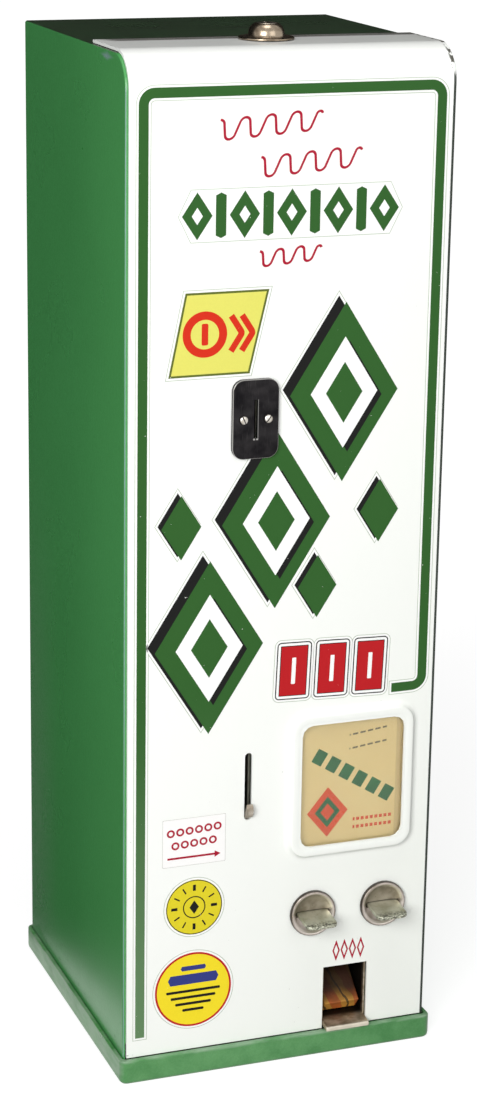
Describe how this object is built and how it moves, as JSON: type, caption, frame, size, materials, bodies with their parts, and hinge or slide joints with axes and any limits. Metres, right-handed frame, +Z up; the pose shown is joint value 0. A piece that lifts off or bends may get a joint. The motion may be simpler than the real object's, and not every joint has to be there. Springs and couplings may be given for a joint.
{
  "type": "gum vending machine",
  "caption": "Counter vending machine with a sheet steel cabinet, a drop-front door, a coin entry, two pull tabs and a delivery chute for packs of gum.",
  "frame": {"origin": "centre of the footprint, on the plane the base tray stands on", "axes": "+Z up, the door and its pulls face -Y, +X to the right of someone facing the door"},
  "size_m": [0.1764, 0.194, 0.5429],
  "materials": {
    "green_enamel": "gloss enamel",
    "white_enamel": "gloss enamel",
    "aged_nickel": "aged nickel plate",
    "zinc_plate": "zinc plate",
    "dark_steel": "polished dark steel",
    "brass": "satin",
    "glass": "clear",
    "tan_card": "printed card",
    "gum_pack": "paper wrapper"
  },
  "bodies": {
    "cabinet": {"base_tray": "green_enamel", "cabinet_shell": "green_enamel", "base_screw_front_left": "zinc_plate", "base_screw_front_right": "zinc_plate", "base_screw_back_left": "zinc_plate", "base_screw_back_right": "zinc_plate", "hinge_strap_left": "zinc_plate", "hinge_strap_right": "zinc_plate", "hinge_pin_left": "zinc_plate", "hinge_pin_right": "zinc_plate", "lock_strike": "zinc_plate", "delivery_chute": "zinc_plate"},
    "door": {"front_door": "white_enamel", "window_glass": "glass", "display_card": "tan_card", "window_back_plate": "zinc_plate", "coin_slot_plate": "dark_steel", "plate_screw_left": "aged_nickel", "plate_screw_right": "aged_nickel", "coin_backing_plate": "zinc_plate", "coin_track": "zinc_plate", "coin_track_cover": "zinc_plate", "coin_return_cup": "aged_nickel", "pull_escutcheon_left": "aged_nickel", "pull_escutcheon_right": "aged_nickel", "mechanism_frame": "zinc_plate", "slide_keeper_left": "zinc_plate", "slide_keeper_right": "zinc_plate", "column_left": "zinc_plate", "column_right": "zinc_plate", "column_bracket": "zinc_plate", "gum_stack_left": "gum_pack", "gum_stack_right": "gum_pack", "return_spring_left": "zinc_plate", "return_spring_right": "zinc_plate", "lock_shell": "aged_nickel", "lock_nut": "zinc_plate"},
    "lock_cylinder": {"lock_plug": "aged_nickel", "lock_cam": "zinc_plate", "cam_screw": "zinc_plate"},
    "ejector_left": {"pull_slide_left": "zinc_plate", "pusher_left": "brass", "next_pack_left": "gum_pack"},
    "ejector_right": {"pull_slide_right": "zinc_plate", "pusher_right": "brass", "next_pack_right": "gum_pack"},
    "release_gear": {"release_shaft": "zinc_plate", "coin_lever": "brass", "slide_pawl_left": "brass", "slide_pawl_right": "brass"},
    "sold_out_gear": {"sold_out_shaft": "zinc_plate", "sold_out_finger_left": "brass", "sold_out_finger_right": "brass", "return_blade": "brass"},
    "weight_left": {"follower_weight_left": "dark_steel"},
    "weight_right": {"follower_weight_right": "dark_steel"},
    "coin_box": {"cash_box": "zinc_plate"},
    "dropped_pack": {"vended_pack": "gum_pack"}
  },
  "joints": [
    {"name": "door_hinge", "type": "hinge", "parent": "cabinet", "child": "door", "pos_m": [0, -0.0767, 0.018], "axis": [1, 0, 0], "range_deg": [0, 85]},
    {"name": "lock_turn", "type": "hinge", "parent": "door", "child": "lock_cylinder", "pos_m": [0, -0.0385, 0.5148], "axis": [0, 0, 1], "range_deg": [-90, 0]},
    {"name": "pull_left", "type": "slide", "parent": "door", "child": "ejector_left", "axis": [0, -1, 0], "range_m": [0, 0.022], "stiffness_N_per_m": 80, "springref_m": -0.012, "deforming": ["return_spring_left"]},
    {"name": "pull_right", "type": "slide", "parent": "door", "child": "ejector_right", "axis": [0, -1, 0], "range_m": [0, 0.022], "stiffness_N_per_m": 80, "springref_m": -0.012, "deforming": ["return_spring_right"]},
    {"name": "release_turn", "type": "hinge", "parent": "door", "child": "release_gear", "pos_m": [0, -0.0145, 0.1005], "axis": [1, 0, 0], "range_deg": [-8, 0]},
    {"name": "sold_out_turn", "type": "hinge", "parent": "door", "child": "sold_out_gear", "pos_m": [0, -0.0145, 0.119], "axis": [1, 0, 0], "range_deg": [0, 8]},
    {"name": "weight_slide_left", "type": "slide", "parent": "door", "child": "weight_left", "axis": [0, 0, 1], "range_m": [0, 0.17]},
    {"name": "weight_slide_right", "type": "slide", "parent": "door", "child": "weight_right", "axis": [0, 0, 1], "range_m": [0, 0.17]},
    {"name": "cash_box_lift", "type": "slide", "parent": "cabinet", "child": "coin_box", "axis": [0, 0, 1], "range_m": [0, 0.028]},
    {"name": "pack_slide", "type": "slide", "parent": "cabinet", "child": "dropped_pack", "axis": [0, -1, 0], "range_m": [0, 0.026]}
  ]
}
